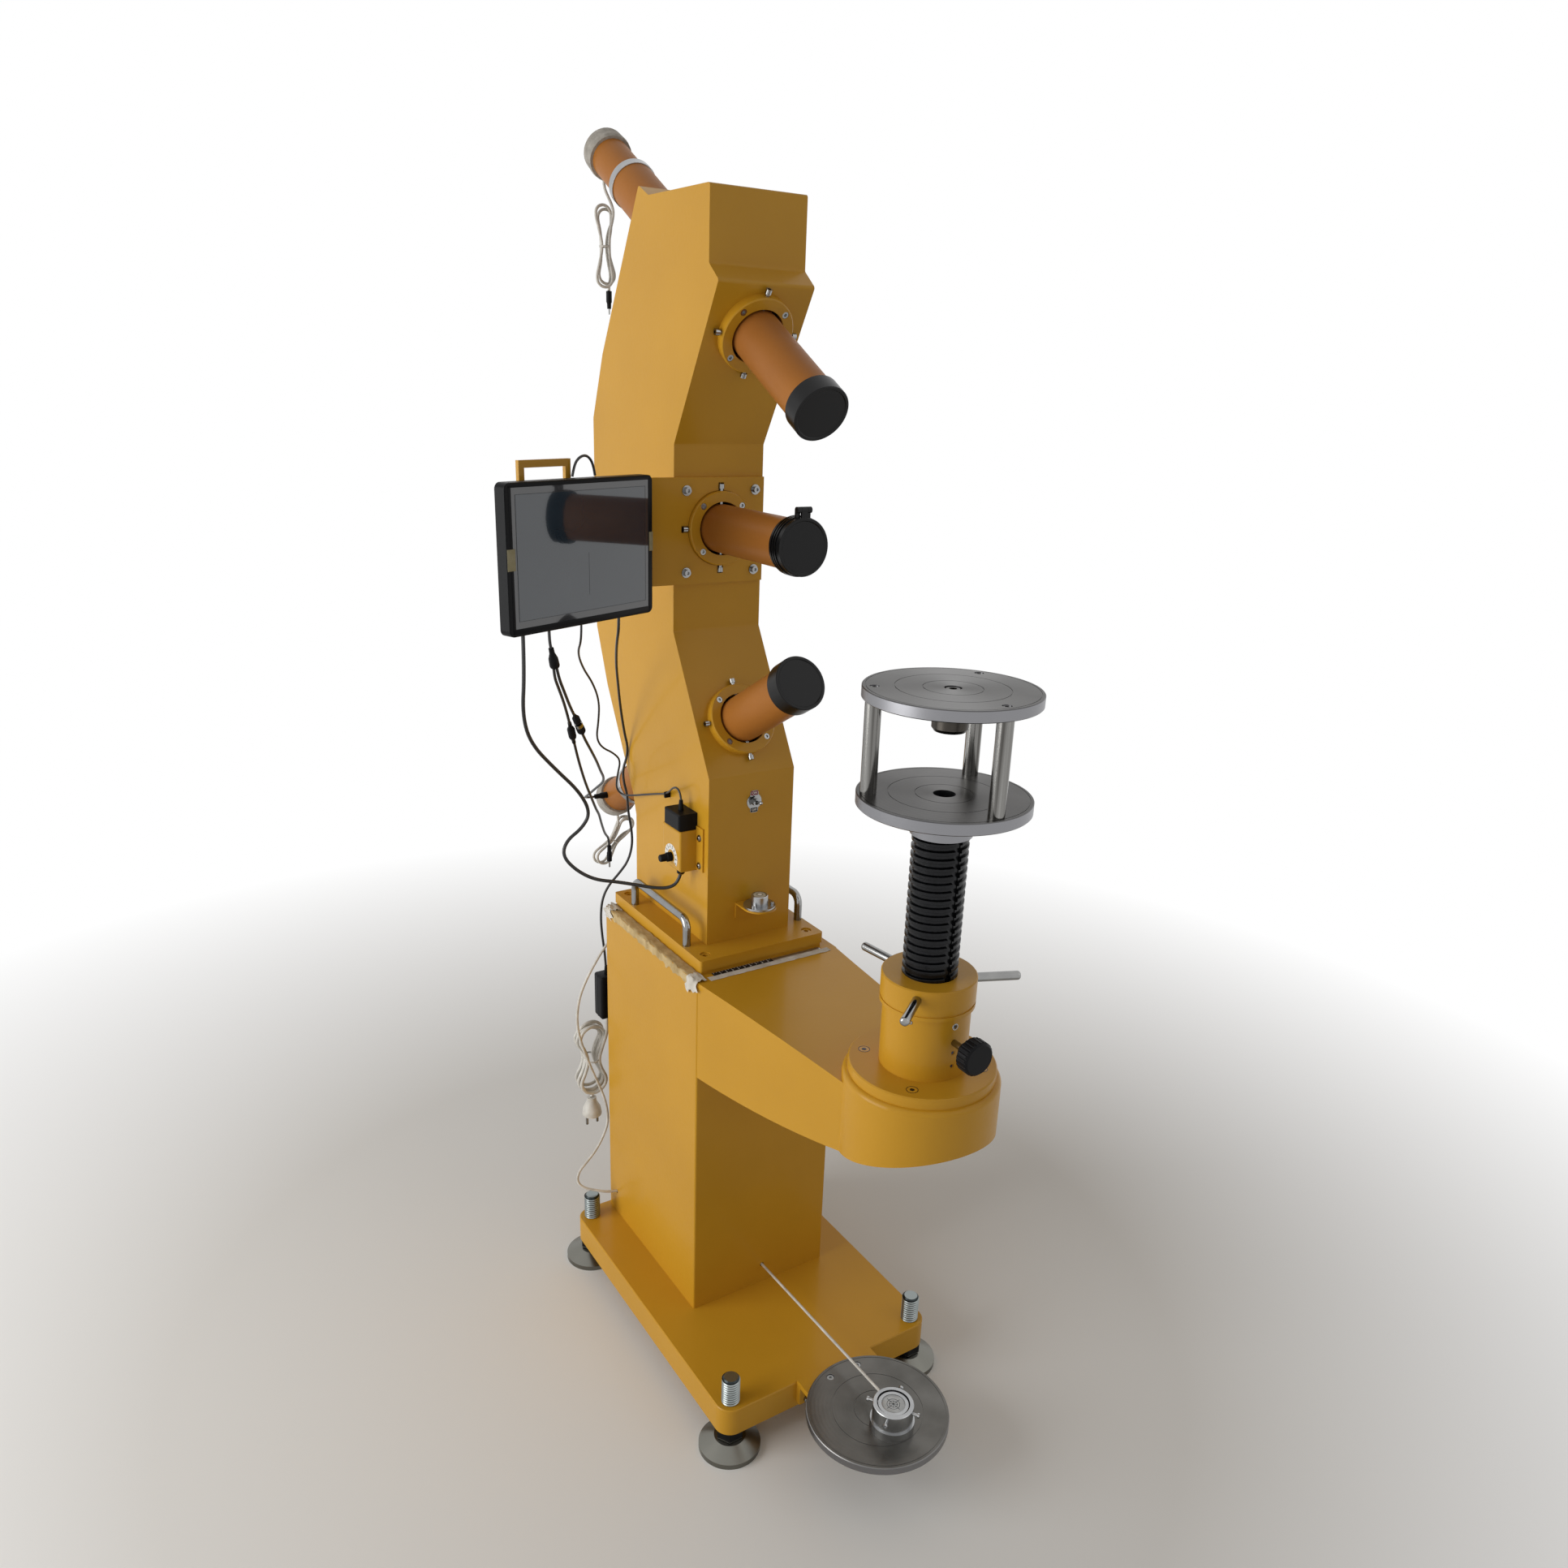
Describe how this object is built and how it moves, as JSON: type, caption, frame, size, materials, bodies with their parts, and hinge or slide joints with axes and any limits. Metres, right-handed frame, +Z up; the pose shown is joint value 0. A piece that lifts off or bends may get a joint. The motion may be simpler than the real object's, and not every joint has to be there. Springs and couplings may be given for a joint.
{
  "type": "optical collimator",
  "caption": "Test stand whose fixed collimators aim at an instrument stage on a height-adjustable screw column, with a monitor, lamp controls, floor target and levelling feet.",
  "frame": {"origin": "on the floor, under the middle of the rigid pieces' bounding box", "axes": "+Z up, +Y from the instrument stand to the column at the back, +X to the right seen from the front"},
  "size_m": [0.5696, 1.1008, 1.7991],
  "materials": {
    "ochre_gloss_paint": "gloss enamel, ochre yellow",
    "ochre_satin_paint": "satin paint, brownish ochre",
    "black_plastic": "matt black",
    "dark_grey_plastic": "satin, dark grey",
    "key_rubber": "matt black keys",
    "screen_glass": "glossy dark panel, switched off",
    "lens_glass": "clear, coated",
    "wrap_foam": "soft protective wrap",
    "turned_steel": "fine turned, satin",
    "black_oxide_steel": "black oxide, satin",
    "bright_chrome": "bright plated",
    "turned_aluminium": "turned, satin",
    "reticle_cell": "turned cell with a glass reticle",
    "grey_foot_steel": "grey coated pads with plated studs",
    "black_cord": "black flexible sheath",
    "white_cord": "off-white flexible sheath"
  },
  "bodies": {
    "base": {"base_plate": "ochre_gloss_paint", "pedestal": "ochre_gloss_paint", "column_flange": "ochre_gloss_paint", "column_shell": "ochre_gloss_paint", "stand_housing": "ochre_gloss_paint", "mounting_plate": "ochre_gloss_paint", "target_bracket": "ochre_gloss_paint", "level_bracket": "ochre_gloss_paint", "control_box": "ochre_gloss_paint", "top_tube": "ochre_satin_paint", "middle_tube": "ochre_satin_paint", "bottom_tube": "ochre_satin_paint", "mount_rings": "ochre_satin_paint", "rear_barrels": "ochre_satin_paint", "flip_cap_ring": "black_plastic", "adapter": "black_plastic", "objective_lenses": "lens_glass", "level_glass": "lens_glass", "end_wraps": "wrap_foam", "target_disc": "turned_steel", "lift_handles": "bright_chrome", "toggle_switch": "bright_chrome", "adjusting_screws": "bright_chrome", "frame_screws": "bright_chrome", "round_level": "turned_aluminium", "target_holder": "turned_aluminium", "target_cell": "reticle_cell", "power_lead": "black_cord", "video_branch_left": "black_cord", "video_branch_right": "black_cord", "adapter_lead": "black_cord", "brick_lead": "black_cord", "cord_fittings": "black_cord", "feed_lead": "white_cord", "target_lead": "white_cord", "top_hank": "white_cord", "lower_hank": "white_cord", "mains_coil": "white_cord"},
    "elevating_nut": {"elevating_nut": "ochre_gloss_paint", "nut_levers": "bright_chrome"},
    "stand_column": {"threaded_column": "black_oxide_steel", "lower_disc": "turned_steel", "stage_posts": "turned_steel", "upper_disc": "turned_steel"},
    "centring_screw": {"centring_screw": "black_oxide_steel"},
    "clamp_knob": {"clamp_knob": "black_plastic"},
    "top_cap": {"top_lens_cap": "black_plastic"},
    "bottom_cap": {"bottom_lens_cap": "black_plastic"},
    "flip_lid": {"flip_cap_lid": "black_plastic"},
    "monitor": {"monitor_bracket": "ochre_gloss_paint", "monitor_housing": "dark_grey_plastic", "monitor_screen": "screen_glass", "monitor_keys": "key_rubber"},
    "dimmer_knob": {"dimmer_knob": "black_plastic"},
    "toggle_lever": {"toggle_lever": "bright_chrome"},
    "foot_front_left": {"foot_front_left": "grey_foot_steel"},
    "foot_front_right": {"foot_front_right": "grey_foot_steel"},
    "foot_rear_left": {"foot_rear_left": "grey_foot_steel"},
    "foot_rear_right": {"foot_rear_right": "grey_foot_steel"}
  },
  "joints": [
    {"name": "nut_turn", "type": "hinge", "parent": "base", "child": "elevating_nut", "pos_m": [0.0778, -0.44965, 0.782], "axis": [0, 0, 1], "range_deg": [-864, 5760]},
    {"name": "column_raise", "type": "slide", "parent": "base", "child": "stand_column", "axis": [0, 0, 1], "range_m": [-0.16, 0.024]},
    {"name": "centring_turn", "type": "hinge", "parent": "stand_column", "child": "centring_screw", "pos_m": [0.0778, -0.44965, 1.115], "axis": [0, 0, 1], "continuous": true},
    {"name": "clamp_turn", "type": "hinge", "parent": "base", "child": "clamp_knob", "pos_m": [0.0778, -0.50965, 0.731], "axis": [0, -1, 0], "range_deg": [0, 540]},
    {"name": "top_cap_pull", "type": "slide", "parent": "base", "child": "top_cap", "axis": [0, -0.866, -0.5], "range_m": [0, 0.03]},
    {"name": "bottom_cap_pull", "type": "slide", "parent": "base", "child": "bottom_cap", "axis": [0, -0.866, 0.5], "range_m": [0, 0.03]},
    {"name": "flip_lid_hinge", "type": "hinge", "parent": "base", "child": "flip_lid", "pos_m": [0.0778, -0.1398, 1.3064], "axis": [-1, 0, 0], "range_deg": [0, 110]},
    {"name": "monitor_swivel", "type": "hinge", "parent": "base", "child": "monitor", "pos_m": [-0.15819, 0.06131, 1.2451], "axis": [0, 0, 1], "range_deg": [-45, 1]},
    {"name": "dimmer_turn", "type": "hinge", "parent": "base", "child": "dimmer_knob", "pos_m": [-0.0272, 0.02335, 0.8005], "axis": [-1, 0, 0], "range_deg": [0, 280]},
    {"name": "toggle_tilt", "type": "hinge", "parent": "base", "child": "toggle_lever", "pos_m": [0.0818, -0.03925, 0.88699], "axis": [1, 0, 0], "range_deg": [0, 24]},
    {"name": "foot_turn_front_left", "type": "hinge", "parent": "base", "child": "foot_front_left", "pos_m": [-0.0842, -0.28365, 0.06], "axis": [0, 0, 1], "continuous": true},
    {"name": "foot_turn_front_right", "type": "hinge", "parent": "base", "child": "foot_front_right", "pos_m": [0.2398, -0.28365, 0.06], "axis": [0, 0, 1], "continuous": true},
    {"name": "foot_turn_rear_left", "type": "hinge", "parent": "base", "child": "foot_rear_left", "pos_m": [-0.0842, 0.19335, 0.06], "axis": [0, 0, 1], "continuous": true},
    {"name": "foot_turn_rear_right", "type": "hinge", "parent": "base", "child": "foot_rear_right", "pos_m": [0.2398, 0.19335, 0.06], "axis": [0, 0, 1], "continuous": true}
  ],
  "couplings": [
    {"joint": "column_raise", "follows": "nut_turn", "m_per_rad": -0.0015915}
  ]
}
